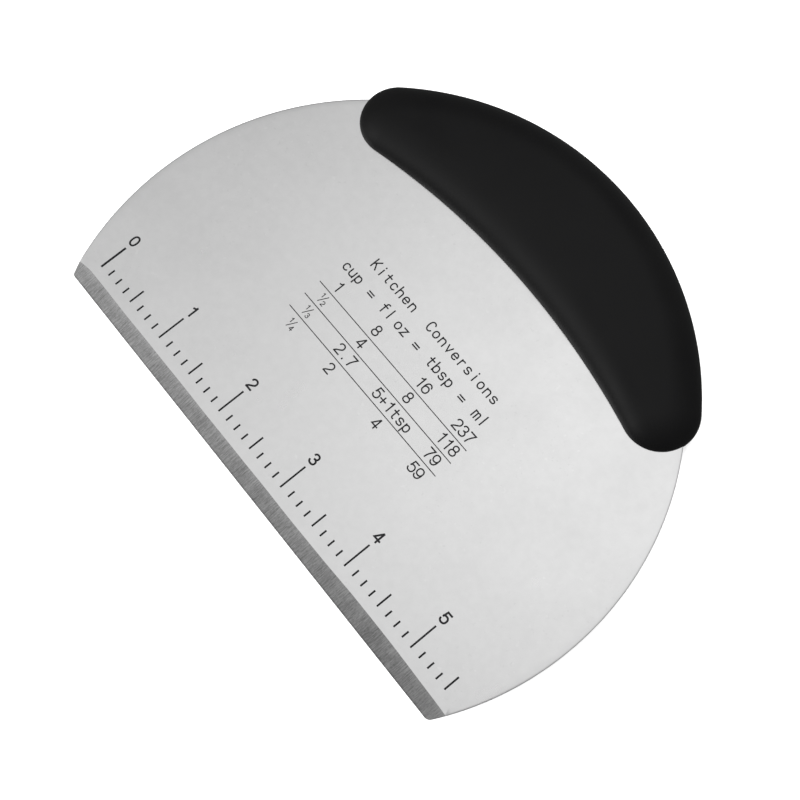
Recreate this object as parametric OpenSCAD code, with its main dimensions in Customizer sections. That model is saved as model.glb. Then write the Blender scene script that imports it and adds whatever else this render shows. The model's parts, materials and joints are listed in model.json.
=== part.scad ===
// Bench scraper: a round steel blade cut off straight along its working edge, with a
// crescent-shaped soft handle moulded over a riveted plastic core.
//
// The parts are drawn flat in the blade's own plane: the centre of the round blade is at
// x = y = 0, the cutting edge lies at negative y, and z = 0 is the middle of the steel.
// seated() then lays the whole tool on its back, as it rests on a bench: the cutting edge
// and the belly of the handle touch z = 0, and the printed side faces up.

/* [Blade] */
// Radius of the round blade
blade_r = 81.9; // [78:0.1:90]
// Distance from the centre of the round to the cutting edge
edge_y = 37.2; // [30:0.1:44]
// Thickness of the steel
blade_t = 1.0; // [0.8:0.05:1.5]
// Width of the ground bevel on the front
bevel_w = 4.2; // [2:0.1:8]
// Steel left at the very edge
edge_land = 0.3; // [0.1:0.05:0.5]
// Rounding of the two corners of the cutting edge, in plan
corner_r = 1.5; // [0.5:0.1:4]
// Depth of the shut-off step ground into both faces where the handle closes on the blade
tang_step = 0.1; // [0.05:0.01:0.2]
// Hairline of that step left showing outside the handle
tang_gap = 0.25; // [0.1:0.05:0.5]

/* [Handle] */
// Radius of the long outer arc, against the palm
palm_r = 83.1; // [80:0.1:95]
// Height of that arc's centre above the centre of the blade
palm_y = 3.9; // [2:0.1:8]
// Radius of the long inner arc, along the blade
lip_r = 209; // [170:1:260]
// Radius of the two rounded ends, in plan
end_r = 10.2; // [9:0.1:12]
// Depth of the handle at the middle, from inner arc to outer arc
grip_depth = 35.9; // [32:0.1:40]
// Thickness of the handle at the middle
grip_t = 15; // [14:0.5:20]
// Thickness of the handle at the centres of its round ends
grip_end_t = 10.6; // [10:0.2:13]
// How much the broad faces crown from their borders to their middle
crown = 0.6; // [0:0.1:1]
// Width of the rounding along the palm side, at the middle
palm_round = 9; // [8:0.5:12]
// Width of the rounding along the blade side, at the middle
lip_round = 12; // [8:0.5:14]
// Roundness of the section: 2 is an ellipse, more is squarer
squareness = 2.1; // [2:0.1:3]

/* [Core and rivets] */
// Margin between the outline of the handle and the outline of the core
core_inset = 6; // [5.5:0.25:7]
// Thickness of each core plate, above the tang
core_t = 2.4; // [2:0.1:2.8]
// Height of the ribs above the tang
rib_h = 4.1; // [3:0.1:4.3]
// Height of the rivet bosses above the tang
boss_h = 4.5; // [4:0.1:4.7]
// Radius of the rivet bosses
boss_r = 6.2; // [6:0.1:7]
// Width of the ribs
rib_w = 2; // [1.5:0.1:3]
// Radius of the rivet heads
head_r = 4; // [3.5:0.1:4.5]
// Thickness of the rivet heads
head_t = 1; // [0.8:0.1:1.2]
// Radius of the hollow rivet half
sleeve_r = 2.5; // [2.3:0.1:2.8]
// Radius of the solid rivet half
shank_r = 1.6; // [1.4:0.1:1.8]
// Radius of the core's locating pegs
peg_r = 1.5; // [1.2:0.1:1.8]
// Angle along the spine from the middle rivet to an outer rivet
rivet_a = 18; // [15:0.5:19]
// Angle along the spine from the middle rivet to a peg
peg_a = 26; // [25:0.5:27]

/* [Hidden] */

$fn = 96;
steel = "#c9cbcc";
rivet_steel = "#a9adb0";
core_plastic = "#3a3b3d";
soft_black = "#1d1e20";
big = 200; // longer than the tool, for cutting shapes
cut = 1; // how far a cutting shape passes through a surface
cross_rib_a = [5.5, 12, 23]; // angles along the spine of the ribs across the core

// --- Plan of the handle: two long arcs joined by tangent round ends ---------------------

palm_c = [0, palm_y];
lip_c = [0, palm_y + palm_r - grip_depth - lip_r];
// the end circles touch the palm arc from inside and the lip arc from outside
to_palm = palm_r - end_r;
to_lip = lip_r + end_r;
centres = palm_c.y - lip_c.y;
end_y = lip_c.y + (to_lip ^ 2 - to_palm ^ 2 + centres ^ 2) / (2 * centres);
end_x = sqrt(to_palm ^ 2 - (end_y - palm_c.y) ^ 2);
// directions from the arcs' centres to the right-hand tangent points
palm_a = atan2(end_y - palm_c.y, end_x);
lip_a = atan2(end_y - lip_c.y, end_x);
// the spine is an arc through both end centres and the middle of the handle
spine_rise = palm_c.y + palm_r - grip_depth / 2 - end_y;
spine_r = (end_x ^ 2 + spine_rise ^ 2) / (2 * spine_rise);
spine_c = [0, end_y + spine_rise - spine_r];
spine_a = atan2(end_y - spine_c.y, end_x);

function polar(centre, r, a) = centre + r * [cos(a), sin(a)];

// Outline of the handle, drawn in by d on every side
module grip_outline(d) {
    intersection() {
        difference() {
            translate(palm_c) circle(palm_r - d);
            translate(lip_c) circle(lip_r + d);
        }
        polygon([
            polar(palm_c, big, palm_a), [end_x, end_y], polar([end_x, end_y], big, lip_a - 180),
            polar([-end_x, end_y], big, -lip_a), [-end_x, end_y], polar(palm_c, big, 180 - palm_a)
        ]);
    }
    for (side = [-1, 1]) translate([side * end_x, end_y]) circle(end_r - d);
}

// --- Surface of the handle: rings that run in from the rim to the spine -----------------

arc_steps = 40; // along each long arc
end_steps = 14; // round each end
round_rings = 8; // over the rounded border
face_rings = 3; // over the broad face, from the border to the spine
rings = round_rings + face_rings;
end_round = end_r - 0.5;

// width of the rounded border at a fraction f of a long arc
function border(side_round, f) = end_round + (side_round - end_round) * sin(180 * f) ^ 2;

// one entry per rim point, counter-clockwise: [point, outward direction, border, spine index]
rim = concat(
    [for (i = [0 : arc_steps]) let (f = i / arc_steps, a = palm_a + (180 - 2 * palm_a) * f)
        [polar(palm_c, palm_r, a), [cos(a), sin(a)], border(palm_round, f), i]],
    [for (i = [1 : end_steps - 1]) let (a = 180 - palm_a + (180 - lip_a + palm_a) * i / end_steps)
        [polar([-end_x, end_y], end_r, a), [cos(a), sin(a)], end_round, arc_steps]],
    [for (i = [0 : arc_steps]) let (f = i / arc_steps, a = 180 - lip_a - (180 - 2 * lip_a) * f)
        [polar(lip_c, lip_r, a), -[cos(a), sin(a)], border(lip_round, f), arc_steps - i]],
    [for (i = [1 : end_steps - 1]) let (a = lip_a - 180 + (180 - lip_a + palm_a) * i / end_steps)
        [polar([end_x, end_y], end_r, a), [cos(a), sin(a)], end_round, 0]]
);
around = len(rim);
spine = [for (i = [0 : arc_steps]) polar(spine_c, spine_r, spine_a + (180 - 2 * spine_a) * i / arc_steps)];

// half thickness of the handle over a plan point
function half_t(p) =
    grip_t / 2 - (grip_t - grip_end_t) / 2 * (p.x / end_x) ^ 2
    - crown * ((norm(p - spine_c) - spine_r) / (grip_depth / 2)) ^ 2;

// ring k, side 1 for the front or -1 for the back
function ring_point(k, rim_point, side) =
    let (
        a = 90 * min(k / round_rings, 1),
        inset = rim_point[2] * (1 - cos(a) ^ (2 / squareness)),
        edge = rim_point[0] - inset * rim_point[1],
        inward = max(0, (k - round_rings) / face_rings),
        p = edge * (1 - inward) + spine[rim_point[3]] * inward
    )
    [p.x, p.y, side * half_t(p) * sin(a) ^ (2 / squareness)];
function spine_point(i, side) = [spine[i].x, spine[i].y, side * half_t(spine[i])];

front_points = concat(
    [for (k = [0 : rings - 1]) for (r = rim) ring_point(k, r, 1)],
    [for (i = [0 : arc_steps]) spine_point(i, 1)]
);
back_points = concat(
    [for (k = [1 : rings - 1]) for (r = rim) ring_point(k, r, -1)],
    [for (i = [0 : arc_steps]) spine_point(i, -1)]
);
// place of ring k's point i in the joined list of points; both sides share the rim, ring 0
function index(k, i, side) =
    let (j = i % around, first = side > 0 ? 0 : len(front_points) - around)
    k == 0 ? j : first + (k < rings ? k * around + j : rings * around + rim[j][3]);
function quad(k, i, side) =
    let (a = index(k, i, side), b = index(k, i + 1, side),
        c = index(k + 1, i + 1, side), d = index(k + 1, i, side),
        halves = c == d ? [[a, c, b]] : [[a, d, c], [a, c, b]])
    [for (h = halves) side > 0 ? h : [h[2], h[1], h[0]]];

module grip_surface() {
    polyhedron(
        points = concat(front_points, back_points),
        faces = [for (side = [1, -1]) for (k = [0 : rings - 1]) for (i = [0 : around - 1])
            each quad(k, i, side)]
    );
}

// --- How the tool lies: on the back corner of its edge and the belly of its handle ------

from_edge = [0, edge_y, blade_t / 2];
tilt = max([for (p = back_points) atan2(-(p.z + from_edge.z), p.y + from_edge.y)]);
reach = max([for (p = concat(front_points, back_points))
    (p.y + from_edge.y) * cos(tilt) - (p.z + from_edge.z) * sin(tilt)]);
y_low = -edge_land * sin(tilt);

module seated() {
    translate([0, -(reach + y_low) / 2, 0]) rotate([tilt, 0, 0]) translate(from_edge) children();
}

// --- Blade -----------------------------------------------------------------------------

// centre of the corner rounding, tangent to the cutting edge and to the round
corner_y = -edge_y + corner_r;
corner_x = sqrt((blade_r - corner_r) ^ 2 - corner_y ^ 2);
corner_a = atan2(corner_y, corner_x);

module blade_outline() {
    difference() {
        circle(blade_r, $fn = 240);
        translate([-big / 2, -edge_y - big]) square(big);
        for (side = [-1, 1]) scale([side, 1]) difference() {
            polygon([
                [corner_x, corner_y], [corner_x, -edge_y - cut],
                [blade_r, -edge_y - cut], polar([corner_x, corner_y], 4 * corner_r, corner_a)
            ]);
            translate([corner_x, corner_y]) circle(corner_r);
        }
    }
}

// Rivets and pegs stand on the spine: a rivet in the middle, then a rivet and a peg each way
rivet_at = [for (a = [-rivet_a, 0, rivet_a]) polar(spine_c, spine_r, 90 - a)];
peg_at = [for (a = [-peg_a, peg_a]) polar(spine_c, spine_r, 90 - a)];

module at(places) {
    for (p = places) translate([p.x, p.y, 0]) children();
}

module blade() {
    half = blade_t / 2;
    color(steel) difference() {
        linear_extrude(blade_t, center = true) blade_outline();
        // bevel, ground on the front only
        rotate([90, 0, 90]) linear_extrude(big, center = true) polygon([
            [-edge_y - cut, edge_land - half - cut * (blade_t - edge_land) / bevel_w],
            [-edge_y + bevel_w, half],
            [-edge_y + bevel_w, half + cut],
            [-edge_y - cut, half + cut]
        ]);
        for (side = [-1, 1]) translate([0, 0, side * (half - tang_step + cut / 2)])
            linear_extrude(cut, center = true) grip_outline(-tang_gap);
        at(rivet_at) cylinder(h = big, r = sleeve_r, center = true);
        at(peg_at) cylinder(h = big, r = peg_r, center = true);
    }
}

// --- Core: two moulded plates that clamp the tang ---------------------------------------

tang_t = blade_t - 2 * tang_step;
boss_top = tang_t / 2 + boss_h;

// One rib along the spine and ribs across it, in plan, short of the plate's border
module rib_outline() {
    intersection() {
        grip_outline(core_inset + 1);
        union() {
            difference() {
                translate(spine_c) circle(spine_r + rib_w / 2);
                translate(spine_c) circle(spine_r - rib_w / 2);
            }
            for (a = cross_rib_a, side = [-1, 1])
                translate(spine_c) rotate(side * a) translate([-rib_w / 2, 0]) square([rib_w, big]);
        }
    }
}

// Front plate; the back plate is its mirror image
module core_plate() {
    translate([0, 0, tang_t / 2]) {
        linear_extrude(core_t) grip_outline(core_inset);
        linear_extrude(rib_h) rib_outline();
        at(rivet_at) cylinder(h = boss_h, r = boss_r);
    }
}

module rivet_holes() {
    at(rivet_at) {
        cylinder(h = big, r = sleeve_r, center = true);
        translate([0, 0, boss_top - head_t]) cylinder(h = head_t + cut, r = head_r);
    }
}

module core_front() {
    color(core_plastic) {
        difference() {
            core_plate();
            rivet_holes();
        }
        // pegs pass through the tang into the back plate
        at(peg_at) translate([0, 0, -tang_t / 2 - core_t + cut / 2])
            cylinder(h = tang_t + 2 * core_t - cut, r = peg_r);
    }
}

module core_back() {
    color(core_plastic) mirror([0, 0, 1]) difference() {
        core_plate();
        rivet_holes();
        at(peg_at) cylinder(h = tang_t / 2 + core_t - cut / 2, r = peg_r);
    }
}

// --- Rivets: a solid post pressed into a hollow sleeve -----------------------------------

module rivet_post(i) {
    color(rivet_steel) at([rivet_at[i]]) {
        translate([0, 0, boss_top - head_t]) cylinder(h = head_t, r = head_r);
        translate([0, 0, head_t - boss_top]) cylinder(h = 2 * (boss_top - head_t), r = shank_r);
    }
}

module rivet_sleeve(i) {
    color(rivet_steel) at([rivet_at[i]]) difference() {
        union() {
            translate([0, 0, -boss_top]) cylinder(h = head_t, r = head_r);
            translate([0, 0, head_t - boss_top]) cylinder(h = 2 * (boss_top - head_t), r = sleeve_r);
        }
        translate([0, 0, head_t - boss_top]) cylinder(h = 2 * boss_top, r = shank_r);
    }
}

// --- Soft handle: moulded over the core, closing on the blade ---------------------------

module soft_grip() {
    color(soft_black) difference() {
        grip_surface();
        // the tang, which carries the full round of the blade into the handle
        cylinder(h = tang_t, r = blade_r, center = true, $fn = 240);
        core_plate();
        mirror([0, 0, 1]) core_plate();
    }
}

seated() blade();
seated() core_front();
seated() core_back();
seated() soft_grip();
seated() rivet_post(0);  // rivet_post_1
seated() rivet_post(1);  // rivet_post_2
seated() rivet_post(2);  // rivet_post_3
seated() rivet_sleeve(0);  // rivet_sleeve_1
seated() rivet_sleeve(1);  // rivet_sleeve_2
seated() rivet_sleeve(2);  // rivet_sleeve_3
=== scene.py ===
"""Looks for the bench scraper: a satin steel blade with a ground bevel and printed scale,
and a soft black crescent handle. Shapes are drawn in millimetres in the blade's own plane
(origin at the centre of the round blade, +x along the cutting edge, +y towards the handle,
z = 0 in the middle of the steel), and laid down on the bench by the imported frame's mounts."""

import json
import math

import bmesh
import bpy
from mathutils import Matrix, Vector


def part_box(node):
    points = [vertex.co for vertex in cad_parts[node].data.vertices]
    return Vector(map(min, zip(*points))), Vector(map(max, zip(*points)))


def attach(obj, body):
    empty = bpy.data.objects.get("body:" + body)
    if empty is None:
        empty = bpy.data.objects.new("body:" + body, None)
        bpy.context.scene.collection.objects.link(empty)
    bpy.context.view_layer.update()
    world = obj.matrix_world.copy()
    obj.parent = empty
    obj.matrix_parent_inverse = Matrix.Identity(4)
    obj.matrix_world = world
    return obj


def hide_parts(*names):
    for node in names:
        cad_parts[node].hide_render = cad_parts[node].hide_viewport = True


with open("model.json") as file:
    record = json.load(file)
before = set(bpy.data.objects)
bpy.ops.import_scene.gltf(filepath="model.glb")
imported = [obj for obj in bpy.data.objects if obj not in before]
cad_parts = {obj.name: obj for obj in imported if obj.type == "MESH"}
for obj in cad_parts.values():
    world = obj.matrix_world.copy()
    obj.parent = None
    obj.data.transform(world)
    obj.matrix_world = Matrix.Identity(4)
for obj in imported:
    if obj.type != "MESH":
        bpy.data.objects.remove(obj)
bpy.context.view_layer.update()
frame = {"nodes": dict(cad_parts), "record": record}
MM = 0.001


# --- The blade's own frame, from the mounts ----------------------------------------------

def mount(name):
    """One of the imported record's mounts: where it is and which way it faces."""
    found = next(m for m in frame["record"]["mounts"] if m["name"] == name)
    return Vector(found["pos_m"]), Vector(found["axis"])


front_pos, front_axis = mount("front_face")
back_pos, _ = mount("back_face")
edge_pos, _ = mount("cutting_edge")
centre = (front_pos + back_pos) / 2
across = Vector((1, 0, 0))
towards_handle = front_axis.cross(across)
BLADE_AXES = Matrix((across, towards_handle, front_axis)).transposed().to_4x4()
LAID_DOWN = Matrix.Translation(centre) @ BLADE_AXES

# --- Sizes of the blade ------------------------------------------------------------------

blade_low, blade_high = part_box("blade")
BLADE_R = (blade_high.x - blade_low.x) / 2 / MM
HALF_T = (front_pos - back_pos).length / 2 / MM
EDGE_Y = (edge_pos - centre).dot(towards_handle) / MM
EDGE_LAND = 0.3  # steel left at the very edge
BEVEL_W = 4.25  # ground width at the left of the edge
EDGE_BREAK = 0.1  # rounding of every sharp edge
ROLL_W, ROLL_DEPTH = 1.8, 0.035  # where the press rolled the face down along the rim
ROLL_RINGS = 5
ROLL_FADE = 12  # rim steps over which the roll dies out beside the bevel
LEFT_CORNER_R = 1.0
RIGHT_CORNER_R = 1.7
RIM_STEPS = 220
CORNER_STEPS = 8
EDGE_STEPS = 150
BREAK_STEPS = 3

# --- Sizes of the handle, as the CAD solid has them --------------------------------------

PALM_R, PALM_Y = 83.1, 3.9
LIP_R = 209.0
END_R = 10.2
GRIP_DEPTH = 35.9
GRIP_T, GRIP_END_T = 15.0, 10.6
CROWN = 0.6
PALM_ROUND, LIP_ROUND = 9.0, 12.0
END_ROUND = END_R - 0.5
SQUARENESS = 2.1
POCKET_GAP = 0.01  # between the steel and the slot it sits in
ARC_STEPS = 150
END_STEPS = 24
ROUND_RINGS = 22
FACE_RINGS = 8

# --- Sizes of the print ------------------------------------------------------------------

INCH = 25.4
RULER_INCHES = 5.5
PRINT_TURN = math.radians(0.3)  # the whole print sits a little turned on the blade
PRINT_SINK, PRINT_RISE = 0.01, 0.015
TICK_Y = -29.83
TICK_LENGTHS = {8: 8.03, 4: 4.52, 1: 2.13}  # whole inch, half inch, eighth
TICK_W, ZERO_TICK_W = 0.49, 0.6
NUMERAL_Y, NUMERAL_H, NUMERAL_W = -20.55, 3.35, 0.52


# --- Mesh helper -------------------------------------------------------------------------

class Shape:
    """Points in blade millimetres and faces, made into one object laid on the bench."""

    def __init__(self):
        self.points = []
        self.faces = []
        self.kinds = []
        self.flat = []

    def add(self, points):
        """Adds points and returns their numbers."""
        first = len(self.points)
        self.points += [Vector(p) for p in points]
        return list(range(first, len(self.points)))

    def face(self, corners, kind=0, flat=True):
        """Adds one face, leaving out repeated corners."""
        ring = [c for i, c in enumerate(corners) if c != corners[i - 1]]
        if len(set(ring)) > 2:
            self.faces.append(ring)
            self.kinds.append(kind)
            self.flat.append(flat)

    def strip(self, low, high, closed=False, kind=0, flat=False):
        """Joins two rows of the same length by four-sided faces."""
        last = len(low) if closed else len(low) - 1
        for i in range(last):
            j = (i + 1) % len(low)
            self.face([low[i], low[j], high[j], high[i]], kind, flat)

    def piece(self, name, materials, slot):
        """The finished object, riding on the scraper's one body."""
        mesh = bpy.data.meshes.new(name)
        mesh.from_pydata([LAID_DOWN @ (p * MM) for p in self.points], [], self.faces)
        for material in materials:
            mesh.materials.append(material)
        for polygon, kind, flat in zip(mesh.polygons, self.kinds, self.flat):
            polygon.material_index = kind
            polygon.use_smooth = not flat
        made = bpy.data.objects.new(name, mesh)
        bpy.context.scene.collection.objects.link(made)
        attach(made, "root")
        return made


def polar(x, y, r, degrees):
    """The point at that radius and direction from (x, y)."""
    a = math.radians(degrees)
    return (x + r * math.cos(a), y + r * math.sin(a))


def direction(degrees):
    """The unit vector that way in plan."""
    a = math.radians(degrees)
    return (math.cos(a), math.sin(a))


def between(low, high, steps, ends=True):
    """Evenly spaced numbers from low to high, with or without the two ends."""
    span = range(steps + 1) if ends else range(1, steps)
    return [low + (high - low) * i / steps for i in span]


# --- Blade -------------------------------------------------------------------------------

# The bevel is hand-ground: how much, where along the edge, and over how long it differs
SWELLS = [(0.52, 47, 22), (0.08, -5, 26)]
RIPPLES = [(0.03, 6.1, 1.0), (0.02, 2.7, 0.0)]  # height, wave's length / 2 pi, phase
RUN_OUT, RUN_OUT_FROM, RUN_OUT_REACH, RUN_OUT_POWER = 0.8, -70.2, 4.4, 1.6
DROOP, DROOP_FROM, DROOP_REACH = 0.2, 60, 13


def grind_line(x):
    """Height of the line where the bevel starts, which wavers and runs out at the ends."""
    wide = sum(gain * math.exp(-((x - at) / reach) ** 2) for gain, at, reach in SWELLS)
    ripple = sum(gain * math.sin(x / wave + phase) for gain, wave, phase in RIPPLES)
    run_out = RUN_OUT * max(0.0, (RUN_OUT_FROM - x) / RUN_OUT_REACH) ** RUN_OUT_POWER
    droop = DROOP * max(0.0, (x - DROOP_FROM) / DROOP_REACH) ** 2
    return EDGE_Y + BEVEL_W + wide + ripple - run_out - droop


def rim_meets_grind(side):
    """Direction from the blade's centre, in degrees, where the grind line reaches the rim."""
    low, high = -45.0, -15.0
    for _ in range(40):
        middle = (low + high) / 2
        x, y = polar(0, 0, BLADE_R - EDGE_BREAK, middle)
        if y < grind_line(side * x):
            low = middle
        else:
            high = middle
    return low


def corner(radius):
    """Centre of a rounded blade corner, on the right, and its direction from the blade's centre."""
    y = EDGE_Y + radius
    x = math.sqrt((BLADE_R - radius) ** 2 - y * y)
    return x, y, math.degrees(math.atan2(y, x))


def bevel_z(x, y):
    """Height of the ground face over a point of the plan."""
    line = grind_line(x)
    drop = 2 * HALF_T - EDGE_LAND
    return HALF_T - drop * max(0.0, line - y) / (line - EDGE_Y)


def lower_outline():
    """Plan points and outward directions round the ground edge, from left to right."""
    left_x, left_y, left_a = corner(LEFT_CORNER_R)
    right_x, right_y, right_a = corner(RIGHT_CORNER_R)
    rows = []
    for a in between(rim_meets_grind(-1), left_a, CORNER_STEPS)[:-1]:
        x, y = polar(0, 0, BLADE_R, a)
        rows.append((-x, y, (-math.cos(math.radians(a)), math.sin(math.radians(a)))))
    for a in between(left_a, -90, CORNER_STEPS):
        x, y = polar(left_x, left_y, LEFT_CORNER_R, a)
        rows.append((-x, y, (-math.cos(math.radians(a)), math.sin(math.radians(a)))))
    for x in between(-left_x, right_x, EDGE_STEPS, ends=False):
        rows.append((x, EDGE_Y, (0, -1)))
    for a in between(-90, right_a, CORNER_STEPS):
        rows.append((*polar(right_x, right_y, RIGHT_CORNER_R, a), direction(a)))
    for a in between(right_a, rim_meets_grind(1), CORNER_STEPS)[1:]:
        rows.append((*polar(0, 0, BLADE_R, a), direction(a)))
    return rows


def upper_outline():
    """Plan points and outward directions round the rim over the top, from right to left."""
    start, stop = rim_meets_grind(1), 180 - rim_meets_grind(-1)
    turns = between(start, stop, RIM_STEPS, ends=False)
    return [(*polar(0, 0, BLADE_R, a), direction(a)) for a in turns]


def make_blade(face_steel, bevel_steel, rim_steel):
    """Round sheet steel with a straight ground edge and every sharp edge broken."""
    shape = Shape()
    lower, upper = lower_outline(), upper_outline()
    outline = lower + upper

    def ring(inset, z_of, start=0):
        """Points all round, or from a given one on, moved in from the outline."""
        made = []
        for i, (x, y, n) in enumerate(outline[start:], start):
            px, py = x - n[0] * inset, y - n[1] * inset
            made.append((px, py, z_of(i, px, py)))
        return shape.add(made)

    def roll(i, inset):
        """How far the face has dropped near the rim."""
        steps_in = min(i - len(lower) + 1, len(outline) - i)
        return ROLL_DEPTH * max(0.0, min(1.0, steps_in / ROLL_FADE)) * (1 - inset / ROLL_W) ** 2

    def top(i, x, y, inset):
        """Height of the upper side at an outline point moved in by that inset."""
        if 0 < i < len(lower) - 1:
            return bevel_z(x, y)
        return HALF_T - roll(i, inset) if i >= len(lower) else HALF_T

    rings = []
    for k in range(BREAK_STEPS + 1):
        a = math.pi / 2 * k / BREAK_STEPS
        inset, drop = EDGE_BREAK * (1 - math.sin(a)), EDGE_BREAK * (1 - math.cos(a))
        rings.append(ring(inset, lambda i, x, y: top(i, x, y, inset) - drop))
    for k in range(BREAK_STEPS + 1):
        a = math.pi / 2 * k / BREAK_STEPS
        inset, rise = EDGE_BREAK * (1 - math.cos(a)), EDGE_BREAK * (1 - math.sin(a))
        rings.append(ring(inset, lambda i, x, y: rise - HALF_T))
    for high, low in zip(rings, rings[1:]):
        shape.strip(low, high, closed=True, kind=2)
    foot = rings[0][:len(lower)]
    crest_points = [shape.points[i] for i in foot[1:-1]]
    crest = [foot[0]] + shape.add([(p.x, grind_line(p.x), HALF_T) for p in crest_points]) + [foot[-1]]
    shape.strip(foot, crest, kind=1, flat=True)
    outer = rings[0][len(lower) - 1:] + [foot[0]]
    for k in range(1, ROLL_RINGS + 1):
        inset = EDGE_BREAK + (ROLL_W - EDGE_BREAK) * k / ROLL_RINGS
        inner = [foot[-1]] + ring(inset, lambda i, x, y: top(i, x, y, inset), len(lower)) + [foot[0]]
        shape.strip(outer, inner, kind=0)
        outer = inner
    shape.face(crest + outer[1:-1], kind=0)
    shape.face(list(reversed(rings[-1])), kind=0)
    made = shape.piece("steel_blade", [face_steel, bevel_steel, rim_steel], "steel")
    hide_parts("blade")
    return made


# --- Handle ------------------------------------------------------------------------------

LIP_Y = PALM_Y + PALM_R - GRIP_DEPTH - LIP_R
ARCS_APART = PALM_Y - LIP_Y
END_Y = LIP_Y + ((LIP_R + END_R) ** 2 - (PALM_R - END_R) ** 2 + ARCS_APART ** 2) / (2 * ARCS_APART)
END_X = math.sqrt((PALM_R - END_R) ** 2 - (END_Y - PALM_Y) ** 2)
PALM_A = math.degrees(math.atan2(END_Y - PALM_Y, END_X))
LIP_A = math.degrees(math.atan2(END_Y - LIP_Y, END_X))
SPINE_RISE = PALM_Y + PALM_R - GRIP_DEPTH / 2 - END_Y
SPINE_R = (END_X ** 2 + SPINE_RISE ** 2) / (2 * SPINE_RISE)
SPINE_Y = END_Y + SPINE_RISE - SPINE_R
SPINE_A = math.degrees(math.atan2(END_Y - SPINE_Y, END_X))


def half_thickness(x, y):
    """Half the handle's thickness over a point of the plan, on its broad faces."""
    off_spine = (math.hypot(x, y - SPINE_Y) - SPINE_R) / (GRIP_DEPTH / 2)
    return GRIP_T / 2 - (GRIP_T - GRIP_END_T) / 2 * (x / END_X) ** 2 - CROWN * off_spine ** 2


def border(side_round, f):
    """Width of the rounding at a fraction f along a long arc, easing into the round ends."""
    return END_ROUND + (side_round - END_ROUND) * math.sin(math.pi * f) ** 2


def blade_leaves_end():
    """Direction round the right end's centre where the blade's rim leaves the handle."""
    reach = math.hypot(END_X, END_Y)
    turn = math.degrees(math.acos((BLADE_R ** 2 - reach ** 2 - END_R ** 2) / (2 * reach * END_R)))
    return math.degrees(math.atan2(END_Y, END_X)) - turn


def handle_rim():
    """The outline, counter-clockwise: point, outward direction, rounding, spine step, slotted."""
    leave = blade_leaves_end()
    rows = []

    def end_arc(side, start, stop, step, slotted, ends):
        """Part of a round end."""
        for a in between(start, stop, END_STEPS, ends=ends):
            x, y = polar(END_X, END_Y, END_R, a)
            n = direction(a)
            rows.append(((side * x, y), (side * n[0], n[1]), END_ROUND, step, slotted))

    for f in between(0, 1, ARC_STEPS):
        a = PALM_A + (180 - 2 * PALM_A) * f
        rows.append((polar(0, PALM_Y, PALM_R, a), direction(a), border(PALM_ROUND, f),
                     round(f * ARC_STEPS), False))
    end_arc(-1, PALM_A, leave, ARC_STEPS, False, False)
    end_arc(-1, leave, LIP_A - 180, ARC_STEPS, True, True)
    rows.pop()
    for f in between(0, 1, ARC_STEPS):
        a = 180 - LIP_A - (180 - 2 * LIP_A) * f
        n = direction(a + 180)
        rows.append((polar(0, LIP_Y, LIP_R, a), n, border(LIP_ROUND, f),
                     ARC_STEPS - round(f * ARC_STEPS), True))
    end_arc(1, LIP_A - 180, leave, 0, True, True)
    first = 2 * ARC_STEPS + 2 * END_STEPS
    rows.pop(first + 1)
    end_arc(1, leave, PALM_A, 0, False, False)
    return rows


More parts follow.
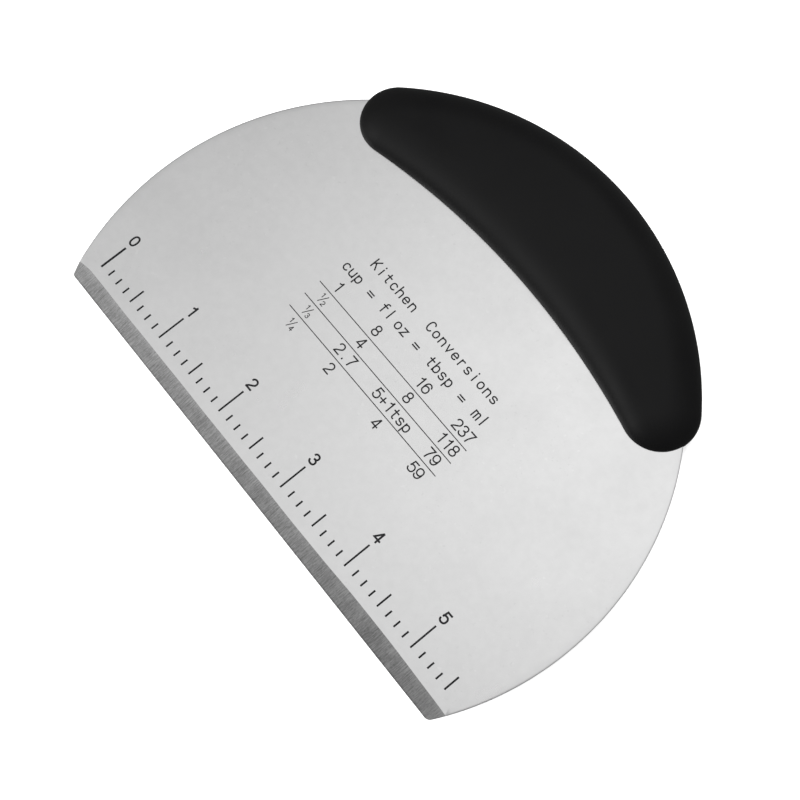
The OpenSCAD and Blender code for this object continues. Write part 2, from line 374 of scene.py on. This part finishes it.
def make_handle(rubber):
    """The moulded skin: two crowned faces on a rounded crescent, with a slot for the blade."""
    shape = Shape()
    rim = handle_rim()
    sweep = 180 - 2 * SPINE_A
    spine = [polar(0, SPINE_Y, SPINE_R, SPINE_A + sweep * i / ARC_STEPS) for i in range(ARC_STEPS + 1)]
    slot_z = HALF_T + POCKET_GAP
    power = 2 / SQUARENESS

    def over(row, a):
        """Plan point and height at the angle a round the border, 0 at the rim, 90 on the face."""
        (x, y), n, width, _, _ = row
        inset = width * (1 - max(0.0, math.cos(a)) ** power)
        px, py = x - n[0] * inset, y - n[1] * inset
        return px, py, half_thickness(px, py) * math.sin(a) ** power

    def first_angle(row):
        """Where the skin starts: on the steel along the slot, and at mid-thickness elsewhere."""
        (x, y), _, _, _, slotted = row
        return math.asin((slot_z / half_thickness(x, y)) ** (1 / power)) if slotted else 0.0

    def skin(side):
        """One face of the handle, with its rounding, and the row of points where it starts."""
        rows = []
        for k in range(ROUND_RINGS + 1):
            ring = []
            for row in rim:
                start = first_angle(row)
                x, y, z = over(row, start + (math.pi / 2 - start) * k / ROUND_RINGS)
                ring.append((x, y, side * z))
            rows.append(shape.add(ring))
        for k in range(1, FACE_RINGS + 1):
            ring = []
            for row in rim:
                x, y, _ = over(row, math.pi / 2)
                sx, sy = spine[row[3]]
                f = k / FACE_RINGS
                px, py = x + (sx - x) * f, y + (sy - y) * f
                ring.append((px, py, side * half_thickness(px, py)))
            rows.append(shape.add(ring))
        for low, high in zip(rows, rows[1:]):
            pair = (low, high) if side > 0 else (high, low)
            shape.strip(*pair, closed=True)
        return rows[0]

    front, back = skin(1), skin(-1)
    count = len(rim)
    slotted = [i for i in range(count) if rim[i][4]]
    # the slot: a roof and a floor on the steel, and a wall along the blade's rim
    a0 = math.degrees(math.atan2(rim[slotted[0]][0][1], rim[slotted[0]][0][0]))
    a1 = math.degrees(math.atan2(rim[slotted[-1]][0][1], rim[slotted[-1]][0][0]))
    wall = [polar(0, 0, BLADE_R + POCKET_GAP, a) for a in between(a0, a1, len(slotted) - 1)]
    roof = [front[slotted[0]]] + shape.add([(x, y, slot_z) for x, y in wall[1:-1]]) + [front[slotted[-1]]]
    floor = [back[slotted[0]]] + shape.add([(x, y, -slot_z) for x, y in wall[1:-1]]) + [back[slotted[-1]]]
    shape.strip(roof, [front[i] for i in slotted], flat=True)
    shape.strip([back[i] for i in slotted], floor, flat=True)
    shape.strip(floor, roof, flat=True)
    # where the slot ends, the two halves of the skin come together
    for inner, outer in ((slotted[0], slotted[0] - 1), (slotted[-1], slotted[-1] + 1)):
        corners = [front[inner], back[inner], front[outer]]
        shape.face(corners if inner == slotted[0] else corners[::-1], flat=True)
    made = shape.piece("handle_skin", [rubber], "soft_black")
    weld(made)
    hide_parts("soft_grip")
    return made


def weld(made):
    """Joins the points that the front, the back and the spine share, and turns all faces outwards."""
    work = bmesh.new()
    work.from_mesh(made.data)
    bmesh.ops.remove_doubles(work, verts=work.verts, dist=0.001 * MM)
    bmesh.ops.recalc_face_normals(work, faces=work.faces)
    work.to_mesh(made.data)
    work.free()


# --- Print: figures and letters drawn as strokes of even width ---------------------------

X_HEIGHT = 0.66  # of small letters, as a share of a capital
ROUND_STEPS = 20
BOW_SHAPE = 0.88  # under 1 squares a bow a little
ONE_MIDDLE = 0.27  # the figure 1 is centred near its stem
SHARPEST = 0.45  # limit on how far a mitred corner reaches out


def bow(x, y, rx, ry, start, stop):
    """Points along a slightly squared oval, from one direction to another, in degrees."""
    made = []
    for a in between(start, stop, ROUND_STEPS):
        c, s = direction(a)
        u, v = math.copysign(abs(c) ** BOW_SHAPE, c), math.copysign(abs(s) ** BOW_SHAPE, s)
        made.append((x + rx * u, y + ry * v))
    return made


def loop(x, y, rx, ry):
    """A whole oval, marked as closed by ending where it starts."""
    return bow(x, y, rx, ry, 0, 360)


# Strokes of each glyph, in shares of a capital's height
SMALL = X_HEIGHT / 2
ARCH = bow(0.27, X_HEIGHT - 0.24, 0.27, 0.24, 180, 0) + [(0.54, 0)]
GLYPHS = {
    "0": [loop(0.31, 0.5, 0.31, 0.5)],
    "1": [[(0.38, 1), (0.38, 0)], [(0.36, 1), (0.3, 0.86), (0.12, 0.79)]],
    "2": [bow(0.31, 0.71, 0.29, 0.29, 165, -30) + [(0.4, 0.4), (0.14, 0.2), (0.02, 0.03)],
          [(0.02, 0), (0.6, 0)]],
    "3": [bow(0.29, 0.76, 0.26, 0.24, 165, -90), bow(0.3, 0.26, 0.31, 0.26, 90, -165)],
    "4": [[(0.42, 1), (0, 0.27), (0.66, 0.27)], [(0.47, 1), (0.47, 0)]],
    "5": [[(0.57, 1), (0.12, 1), (0.05, 0.52)], bow(0.3, 0.33, 0.32, 0.33, 140, -160)],
    "6": [loop(0.32, 0.33, 0.31, 0.33), bow(0.34, 0.5, 0.33, 0.5, 180, 35)],
    "7": [[(0, 1), (0.61, 1), (0.4, 0.62), (0.27, 0.3), (0.22, 0)]],
    "8": [loop(0.31, 0.755, 0.26, 0.245), loop(0.31, 0.265, 0.31, 0.265)],
    "9": [loop(0.3, 0.67, 0.31, 0.33), bow(0.28, 0.5, 0.33, 0.5, 0, -145)],
    "C": [bow(0.31, 0.5, 0.31, 0.5, 40, 320)],
    "K": [[(0, 1), (0, 0)], [(0.56, 1), (0, 0.36)], [(0.2, 0.59), (0.58, 0)]],
    "b": [[(0, 1), (0, 0)], loop(0.27, SMALL, 0.27, SMALL)],
    "c": [bow(0.28, SMALL, 0.28, SMALL, 40, 320)],
    "e": [bow(0.28, SMALL, 0.28, SMALL, 0, 318), [(0.05, SMALL), (0.54, SMALL)]],
    "f": [[(0.22, 0)] + bow(0.42, 0.8, 0.2, 0.2, 180, 80), [(0.02, X_HEIGHT), (0.5, X_HEIGHT)]],
    "h": [[(0, 1), (0, 0)], ARCH],
    "i": [[(0.27, X_HEIGHT), (0.27, 0)], [(0.27, 0.95), (0.27, 0.98)]],
    "l": [[(0.27, 1), (0.27, 0)]],
    "m": [[(0, X_HEIGHT), (0, 0)], bow(0.16, X_HEIGHT - 0.16, 0.16, 0.16, 180, 0) + [(0.32, 0)],
          bow(0.48, X_HEIGHT - 0.16, 0.16, 0.16, 180, 0) + [(0.64, 0)]],
    "n": [[(0, X_HEIGHT), (0, 0)], ARCH],
    "o": [loop(0.28, SMALL, 0.28, SMALL)],
    "p": [[(0, X_HEIGHT), (0, -0.28)], loop(0.27, SMALL, 0.27, SMALL)],
    "r": [[(0.08, X_HEIGHT), (0.08, 0)], bow(0.34, X_HEIGHT - 0.26, 0.26, 0.26, 180, 70)],
    "s": [bow(0.26, X_HEIGHT * 0.755, 0.24, X_HEIGHT * 0.245, 25, 270)
          + bow(0.26, X_HEIGHT * 0.255, 0.26, X_HEIGHT * 0.255, 90, -155)[1:]],
    "t": [[(0.22, 0.92), (0.22, 0.17)] + bow(0.4, 0.17, 0.18, 0.17, 180, 275)[1:],
          [(0, X_HEIGHT), (0.5, X_HEIGHT)]],
    "u": [[(0, X_HEIGHT)] + bow(0.27, 0.24, 0.27, 0.24, 180, 355), [(0.54, X_HEIGHT), (0.54, 0)]],
    "v": [[(0, X_HEIGHT), (0.27, 0), (0.54, X_HEIGHT)]],
    "z": [[(0.02, X_HEIGHT), (0.5, X_HEIGHT), (0, 0), (0.52, 0)]],
    "=": [[(0, 0.2), (0.62, 0.2)], [(0, 0.46), (0.62, 0.46)]],
    "+": [[(0, 0.42), (0.6, 0.42)], [(0.3, 0.12), (0.3, 0.72)]],
    ".": [[(0.1, 0.01), (0.1, 0.05)]],
    "/": [[(0, 0), (0.55, 1)]],
}


def turned(x, y):
    """A point of the print on the blade."""
    return (x * math.cos(PRINT_TURN) - y * math.sin(PRINT_TURN),
            x * math.sin(PRINT_TURN) + y * math.cos(PRINT_TURN))


def ribbon(shape, line, width):
    """One stroke as a thin closed slab, with square ends and mitred corners."""
    closed = line[0] == line[-1] or math.dist(line[0], line[-1]) < 1e-6
    points = [Vector(p) for p in (line[:-1] if closed else line)]
    count = len(points)
    sides = ([], [])
    for i, p in enumerate(points):
        before = points[i - 1] if closed or i else None
        after = points[(i + 1) % count] if closed or i < count - 1 else None
        a = (p - before).normalized() if before is not None else (after - p).normalized()
        b = (after - p).normalized() if after is not None else a
        n = Vector((-(a + b).y, (a + b).x)).normalized()
        reach = width / 2 / max(SHARPEST, n.dot(Vector((-a.y, a.x))))
        sides[0].append(turned(*(p + n * reach)))
        sides[1].append(turned(*(p - n * reach)))
    low, high = HALF_T - PRINT_SINK, HALF_T + PRINT_RISE
    left, right = ([(x, y, high) for x, y in side] for side in sides)
    left_low, right_low = ([(x, y, low) for x, y in side] for side in sides)
    lt, rt, lb, rb = (shape.add(row) for row in (left, right, left_low, right_low))
    for row, other in ((rt, lt), (lt, lb), (lb, rb), (rb, rt)):
        shape.strip(row, other, closed=closed, flat=True)
    if not closed:
        shape.face([lb[0], rb[0], rt[0], lt[0]])
        shape.face([lt[-1], rt[-1], rb[-1], lb[-1]])


def write(shapes, text, x, baseline, height, width, pitch=2.5):
    """Draws text with its first letter centred on x and its feet on the baseline."""
    scale = height - width
    for i, letter in enumerate(text):
        if letter == " ":
            continue
        strokes = GLYPHS[letter]
        spread = [p[0] for line in strokes for p in line]
        middle = (min(spread) + max(spread)) / 2
        if letter == "1":
            middle = ONE_MIDDLE
        for layer, line in enumerate(strokes):
            left, foot = x + i * pitch, baseline + width / 2
            points = [(left + (u - middle) * scale, foot + v * scale) for u, v in line]
            ribbon(shapes[layer], square_ends(points, width / 2), width)


def square_ends(points, reach):
    """An open line made longer by reach at both ends; a closed one as it is."""
    first, second, before, last = (Vector(points[i]) for i in (0, 1, -2, -1))
    if (first - last).length < 1e-6:
        return points
    head = first + (first - second).normalized() * reach
    tail = last + (last - before).normalized() * reach
    return [tuple(head)] + points[1:-1] + [tuple(tail)]


def union(name, shapes, materials, slot):
    """The strokes of all layers, joined into one mesh where they cross."""
    names = [name] + [f"{name}_{i}" for i in range(1, len(shapes))]
    made = [shape.piece(title, materials, slot) for title, shape in zip(names, shapes)]
    for other in made[1:]:
        if not other.data.polygons:
            continue
        join = made[0].modifiers.new("join", "BOOLEAN")
        join.operation = "UNION"
        join.solver = "EXACT"
        join.object = other
    bpy.context.view_layer.update()
    joined = bpy.data.meshes.new_from_object(made[0].evaluated_get(bpy.context.evaluated_depsgraph_get()))
    made[0].modifiers.clear()
    made[0].data = joined
    for other in made[1:]:
        bpy.data.objects.remove(other)
    return made[0]


def make_ruler(ink):
    """Inch scale along the edge, with eighths, and its figures."""
    shapes = [Shape(), Shape()]
    for i in range(round(RULER_INCHES * 8) + 1):
        x = (i / 8 - RULER_INCHES / 2) * INCH
        step = 8 if i % 8 == 0 else 4 if i % 4 == 0 else 1
        width = ZERO_TICK_W if i == 0 else TICK_W
        ribbon(shapes[0], [(x, TICK_Y), (x, TICK_Y + TICK_LENGTHS[step])], width)
        if step == 8:
            write(shapes, str(i // 8), x, NUMERAL_Y, NUMERAL_H, NUMERAL_W)
    return union("ruler_marks", shapes, [ink], "marking")


TABLE_H, TABLE_W = 3.2, 0.38
TITLE = [("Kitchen", -23.8), ("Conversions", -1.75)]
TITLE_Y, TITLE_H, TITLE_W, TITLE_PITCH = 24.0, 3.1, 0.38, 2.5
UNITS = [("cup", -28.4), ("=", -18.45), ("f", -13.3), ("l", -10.9), ("oz", -7.4), ("=", -0.2),
         ("tbsp", 5.4), ("=", 17.7), ("ml", 23.4)]
UNITS_Y, UNITS_H, UNITS_PITCH = 18.1, 3.2, 2.4
COLUMNS = [-25.3, -9.8, 9.0, 24.6]
ROW_Y = [12.6, 7.5, 2.45, -2.86]
FIGURES = [["1", "8", "16", "237"], ["/2", "4", "8", "118"],
           ["/3", "2.7", "5+1tsp", "79"], ["/4", "2", "4", "59"]]
FIGURE_PITCH = 2.33
RULE_Y = [11.45, 6.45, 1.45]
RULE_X = (-29.8, 28.9)
RULE_W = 0.24
FRACTION_H, FRACTION_W = 1.5, 0.22


def write_fraction(shapes, below, x, baseline):
    """A small one over a slash and a small figure."""
    write(shapes, "1", x - 0.85, baseline + 1.5, FRACTION_H, FRACTION_W)
    write(shapes, below, x + 0.85, baseline - 0.1, FRACTION_H, FRACTION_W)
    ribbon(shapes[2], [(x - 0.75, baseline + 0.1), (x + 0.65, baseline + 2.95)], FRACTION_W)


def make_table(ink):
    """Kitchen measures: title, units, four rows of figures and the rules between them."""
    shapes = [Shape(), Shape(), Shape()]
    for word, x in TITLE:
        write(shapes, word, x, TITLE_Y, TITLE_H, TITLE_W, TITLE_PITCH)
    for word, x in UNITS:
        write(shapes, word, x, UNITS_Y, UNITS_H, TABLE_W, UNITS_PITCH)
    for row, y in zip(FIGURES, ROW_Y):
        for text, x in zip(row, COLUMNS):
            if text[0] == "/":
                write_fraction(shapes, text[1:], x, y)
            else:
                start = x - (len(text) - 1) / 2 * FIGURE_PITCH
                write(shapes, text, start, y, TABLE_H, TABLE_W, FIGURE_PITCH)
    for y in RULE_Y:
        ribbon(shapes[0], [(RULE_X[0], y), (RULE_X[1], y)], RULE_W)
    return union("conversion_table", shapes, [ink], "marking")


# --- Materials ---------------------------------------------------------------------------

class Nodes:
    """A material's node tree, built by name."""

    def __init__(self, name):
        self.material = bpy.data.materials.new(name)
        self.material.use_nodes = True
        self.tree = self.material.node_tree
        self.tree.nodes.clear()
        self.shader = self.node("ShaderNodeBsdfPrincipled")
        self.link(self.shader, "BSDF", self.node("ShaderNodeOutputMaterial"), "Surface")
        self.place = self.node("ShaderNodeTexCoord")

    def node(self, kind, **inputs):
        """A node with some inputs set; an underscore stands for a space."""
        made = self.tree.nodes.new(kind)
        for key, value in inputs.items():
            made.inputs[key.replace("_", " ")].default_value = value
        return made

    def link(self, source, output, target, socket):
        self.tree.links.new(source.outputs[output], target.inputs[socket])

    def mapping(self, scale, turn=(0, 0, 0)):
        """Object coordinates turned, then stretched."""
        made = self.node("ShaderNodeMapping")
        made.inputs["Scale"].default_value = scale
        made.inputs["Rotation"].default_value = turn
        self.link(self.place, "Object", made, "Vector")
        return made

    def noise(self, scale, detail=2.0, roughness=0.5, mapping=None):
        """Noise of about scale cells to a metre."""
        made = self.node("ShaderNodeTexNoise", Scale=scale, Detail=detail, Roughness=roughness)
        self.link(mapping or self.place, "Vector" if mapping else "Object", made, "Vector")
        return made

    def spread(self, source, low, high, from_low=0.3, from_high=0.7, output=0):
        """A noise's value turned into a range."""
        made = self.node("ShaderNodeMapRange")
        made.inputs["From Min"].default_value = from_low
        made.inputs["From Max"].default_value = from_high
        made.inputs["To Min"].default_value = low
        made.inputs["To Max"].default_value = high
        self.link(source, output, made, "Value")
        return made

    def along(self, axis, start, stop, gain):
        """Zero up to one place along an axis of the object and gain from another on."""
        axes = self.node("ShaderNodeSeparateXYZ")
        self.link(self.place, "Object", axes, "Vector")
        return self.spread(axes, 0.0, gain, start, stop, axis)

    def combine(self, a, b, operation="ADD"):
        """Two values added, or multiplied if asked."""
        made = self.node("ShaderNodeMath")
        made.operation = operation
        self.tree.links.new(a.outputs[0], made.inputs[0])
        self.tree.links.new(b.outputs[0], made.inputs[1])
        return made

    def tint(self, value, low, high):
        """A colour from one tint to another, by value."""
        made = self.node("ShaderNodeMix")
        made.data_type = "RGBA"
        made.inputs[6].default_value = (*low, 1)
        made.inputs[7].default_value = (*high, 1)
        self.tree.links.new(value.outputs[0], made.inputs[0])
        self.tree.links.new(made.outputs[2], self.shader.inputs["Base Color"])
        return made

    def bump(self, height, strength, distance):
        made = self.node("ShaderNodeBump", Strength=strength, Distance=distance)
        self.tree.links.new(height.outputs[0], made.inputs["Height"])
        self.link(made, "Normal", self.shader, "Normal")
        return made

    def rough(self, source):
        self.tree.links.new(source.outputs[0], self.shader.inputs["Roughness"])


def satin_steel():
    """Satin sheet: faint clouding, a very fine grain, and specks gathered in places."""
    m = Nodes("satin_steel")
    m.shader.inputs["Metallic"].default_value = 1.0
    clouds = m.noise(55, 3.0, 0.55)
    mottle = m.noise(420, 2.0, 0.6)
    dull_specks = m.spread(m.noise(1000, 1.0, 0.5), 0.0, -0.6, 0.68, 0.76)
    pale_specks = m.spread(m.noise(760, 1.0, 0.5), 0.0, 0.6, 0.69, 0.77)
    gathered = m.spread(m.noise(38, 1.0, 0.5), 0.15, 1.0, 0.46, 0.6)
    value = m.combine(m.spread(clouds, 0.0, 0.6), m.spread(mottle, 0.0, 0.4))
    for specks in (dull_specks, pale_specks):
        value = m.combine(value, m.combine(specks, gathered, "MULTIPLY"))
    m.tint(value, (0.705, 0.705, 0.705), (0.775, 0.775, 0.775))
    m.rough(m.spread(clouds, 0.27, 0.33))
    grain = m.noise(3200, 2.0, 0.6)
    m.bump(grain, 0.15, 0.00002)
    return m.material


def bench_y(y):
    """Where a height on the blade comes to lie along the bench, in metres."""
    return (LAID_DOWN @ Vector((0, y * MM, 0))).y


# painted highlight: next to the grind line the bevel is made brighter, standing in for the reflection of a
# bevel that flattens there; the bevel here is one flat slope
PAINTED_HIGHLIGHT_BAND = bench_y(EDGE_Y + 0.6 * BEVEL_W), bench_y(EDGE_Y + 0.92 * BEVEL_W)
PAINTED_HIGHLIGHT_GAIN = 0.19
# the edge itself is worn dull, and the wheel dwelt on the right end
WORN_EDGE = bench_y(EDGE_Y + 0.5), bench_y(EDGE_Y + 0.2)
WORN_GAIN = -0.4
BRIGHT_END = 62 * MM, 70 * MM
BRIGHT_GAIN = 0.2


def ground_steel():
    """The bevel: grinding lines straight across the edge, with the wheel's uneven bands and a painted
    highlight along the grind line.
    """
    m = Nodes("ground_steel")
    m.shader.inputs["Metallic"].default_value = 1.0
    lines = m.noise(1.0, 2.0, 0.7, m.mapping((5000, 300, 300)))
    grain = m.noise(1.0, 1.0, 0.5, m.mapping((3600, 1800, 1800)))
    bands = m.noise(1.0, 2.0, 0.5, m.mapping((160, 30, 30)))
    value = m.spread(bands, -0.05, 0.15)
    # added to the bands: grinding lines, grain, the painted highlight by the grind line, the worn edge and
    # the brighter right end
    for layer in (m.spread(lines, 0.0, 0.65), m.spread(grain, 0.0, 0.25),
                  m.along("Y", *PAINTED_HIGHLIGHT_BAND, PAINTED_HIGHLIGHT_GAIN), m.along("Y", *WORN_EDGE, WORN_GAIN),
                  m.along("X", *BRIGHT_END, BRIGHT_GAIN)):
        value = m.combine(value, layer)
    m.tint(value, (0.13, 0.13, 0.13), (0.41, 0.41, 0.41))
    m.rough(m.spread(bands, 0.27, 0.35))
    m.bump(lines, 0.5, 0.00003)
    return m.material


def rim_steel():
    """The sheared and tumbled rim."""
    m = Nodes("rim_steel")
    m.shader.inputs["Metallic"].default_value = 1.0
    wear = m.noise(900, 3.0, 0.6)
    m.tint(m.spread(wear, 0.0, 1.0), (0.26, 0.26, 0.263), (0.4, 0.4, 0.404))
    m.rough(m.spread(wear, 0.3, 0.45))
    m.bump(wear, 0.3, 0.00003)
    return m.material


def soft_rubber():
    """Matte black soft rubber with a fine moulded grain."""
    m = Nodes("soft_rubber")
    m.shader.inputs["Specular IOR Level"].default_value = 0.17
    clouds = m.noise(70, 2.0, 0.5)
    m.tint(m.spread(clouds, 0.0, 1.0), (0.0014, 0.0014, 0.0015), (0.0022, 0.0022, 0.0023))
    m.rough(m.spread(clouds, 0.43, 0.5))
    grain = m.noise(2600, 2.0, 0.55)
    m.bump(grain, 0.25, 0.00004)
    return m.material


def print_ink():
    """Dark grey print, a little uneven where it took less ink."""
    m = Nodes("print_ink")
    uneven = m.noise(1400, 3.0, 0.6)
    m.shader.inputs["Specular IOR Level"].default_value = 0.25
    m.tint(m.spread(uneven, 0.0, 1.0), (0.004, 0.004, 0.0045), (0.011, 0.011, 0.012))
    m.rough(m.spread(uneven, 0.5, 0.7))
    m.bump(uneven, 0.2, 0.00001)
    return m.material


def core_plastic():
    """Moulded dark grey plastic of the hidden core."""
    m = Nodes("core_plastic")
    flow = m.noise(240, 3.0, 0.55)
    m.tint(m.spread(flow, 0.0, 1.0), (0.042, 0.042, 0.046), (0.058, 0.058, 0.063))
    m.rough(m.spread(flow, 0.42, 0.58))
    m.bump(m.noise(3000, 2.0, 0.5), 0.2, 0.00003)
    return m.material


def rivet_steel():
    """Drawn stainless steel of the rivets."""
    m = Nodes("rivet_steel")
    m.shader.inputs["Metallic"].default_value = 1.0
    drawn = m.noise(1.0, 3.0, 0.6, m.mapping((3000, 3000, 200)))
    m.tint(m.spread(drawn, 0.0, 1.0), (0.48, 0.49, 0.5), (0.62, 0.63, 0.64))
    m.rough(m.spread(drawn, 0.28, 0.42))
    m.bump(drawn, 0.25, 0.00002)
    return m.material


def paint(node, material):
    """Gives a carried-over CAD node its finished material."""
    mesh = frame["nodes"][node].data
    mesh.materials.clear()
    mesh.materials.append(material)


# --- Floor, light and camera -------------------------------------------------------------

FLOOR_HALF = 1.3  # metres, so that the floor stays lit as far as its edge


def make_floor():
    """A plain pale floor under the scraper, kept out of the reflections as a light tent would."""
    mesh = bpy.data.meshes.new("floor")
    corners = [(FLOOR_HALF * x, FLOOR_HALF * y, 0) for x, y in ((-1, -1), (1, -1), (1, 1), (-1, 1))]
    mesh.from_pydata(corners, [], [(0, 1, 2, 3)])
    made = bpy.data.objects.new("floor", mesh)
    bpy.context.scene.collection.objects.link(made)
    m = Nodes("pale_floor")
    m.shader.inputs["Base Color"].default_value = (0.93, 0.93, 0.93, 1)
    m.shader.inputs["Roughness"].default_value = 0.9
    m.shader.inputs["Specular IOR Level"].default_value = 0.1
    mesh.materials.append(m.material)
    made.visible_glossy = False


# The dome is dim, with soft boxes in it that the steel and the handle reflect: the direction
# of each, in plan, and how bright it is. The two brightest stand low in front and front left.
DOME_GLOW = 0.285
SOFT_BOXES = [((-0.08, 0.2), 1.46), ((-0.5, -0.4), 0.94), ((-0.4, -0.8), 3.8), ((-0.1, 0.95), 0.22)]
BOX_TIGHTNESS = 16.0
BACKDROP = 1.0  # what the camera sees beyond the floor
PANEL_SIZE, PANEL_HEIGHT, PANEL_WATTS = 2.2, 1.6, 60.0


def make_dome():
    """A soft studio dome that the steel and the handle reflect."""
    world = bpy.data.worlds.new("studio_dome")
    world.use_nodes = True
    tree = world.node_tree
    tree.nodes.clear()
    coords = tree.nodes.new("ShaderNodeTexCoord")

    def step(operation, value, number=None, other=None):
        made = tree.nodes.new("ShaderNodeMath")
        made.operation = operation
        tree.links.new(value, made.inputs[0])
        if other is None:
            made.inputs[1].default_value = number
        else:
            tree.links.new(other, made.inputs[1])
        return made.outputs[0]

    total = None
    for (x, y), strength in SOFT_BOXES:
        facing = tree.nodes.new("ShaderNodeVectorMath")
        facing.operation = "DOT_PRODUCT"
        facing.inputs[1].default_value = (x, y, math.sqrt(1 - x * x - y * y))
        tree.links.new(coords.outputs["Generated"], facing.inputs[0])
        away = step("SUBTRACT", facing.outputs["Value"], 1.0)
        glow = step("MULTIPLY", step("EXPONENT", step("MULTIPLY", away, BOX_TIGHTNESS), 0.0), strength)
        total = step("ADD", glow, DOME_GLOW) if total is None else step("ADD", total, other=glow)
    lit = tree.nodes.new("ShaderNodeBackground")
    tree.links.new(total, lit.inputs["Strength"])
    seen = tree.nodes.new("ShaderNodeBackground")
    seen.inputs["Color"].default_value = (1, 1, 1, 1)
    seen.inputs["Strength"].default_value = BACKDROP
    path = tree.nodes.new("ShaderNodeLightPath")
    either = tree.nodes.new("ShaderNodeMixShader")
    tree.links.new(path.outputs["Is Camera Ray"], either.inputs["Fac"])
    tree.links.new(lit.outputs[0], either.inputs[1])
    tree.links.new(seen.outputs[0], either.inputs[2])
    out = tree.nodes.new("ShaderNodeOutputWorld")
    tree.links.new(either.outputs[0], out.inputs["Surface"])
    bpy.context.scene.world = world


def make_panel():
    """A wide overhead panel that whitens the floor and is kept out of the reflections."""
    light = bpy.data.lights.new("floor_panel", "AREA")
    light.shape = "SQUARE"
    light.size = PANEL_SIZE
    light.energy = PANEL_WATTS
    made = bpy.data.objects.new("floor_panel", light)
    made.location = (0, 0, PANEL_HEIGHT)
    made.visible_glossy = False
    bpy.context.scene.collection.objects.link(made)


CAMERA_TARGET = Vector((9.06, -18.55, 8.0)) * MM
CAMERA_DISTANCE = 327.4 * MM
CAMERA_AZIMUTH = 48.825
CAMERA_ELEVATION = 72.314
CAMERA_ROLL = 2.30
CAMERA_LENS = 59.384


def make_camera():
    """The view of the product shot: from above, turned along the blade."""
    data = bpy.data.cameras.new("camera")
    data.lens = CAMERA_LENS
    data.sensor_width = 36.0
    data.clip_start, data.clip_end = 0.01, 20.0
    made = bpy.data.objects.new("camera", data)
    bpy.context.scene.collection.objects.link(made)
    a, e = math.radians(CAMERA_AZIMUTH), math.radians(CAMERA_ELEVATION)
    back = Vector((math.sin(a) * math.cos(e), -math.cos(a) * math.cos(e), math.sin(e)))
    made.location = CAMERA_TARGET + back * CAMERA_DISTANCE
    turn = (-back).to_track_quat("-Z", "Y").to_matrix() @ Matrix.Rotation(math.radians(CAMERA_ROLL), 3, "Z")
    made.rotation_euler = turn.to_euler()
    bpy.context.scene.camera = made


# --- Putting it together -----------------------------------------------------------------

make_camera()
make_floor()
make_dome()
make_panel()
bpy.context.scene.view_settings.view_transform = "Standard"

ink = print_ink()
make_blade(satin_steel(), ground_steel(), rim_steel())
make_handle(soft_rubber())
make_ruler(ink)
make_table(ink)

hidden_plastic, hidden_steel = core_plastic(), rivet_steel()
for name in frame["nodes"]:
    if name.startswith("core_"):
        paint(name, hidden_plastic)
    if name.startswith("rivet_"):
        paint(name, hidden_steel)
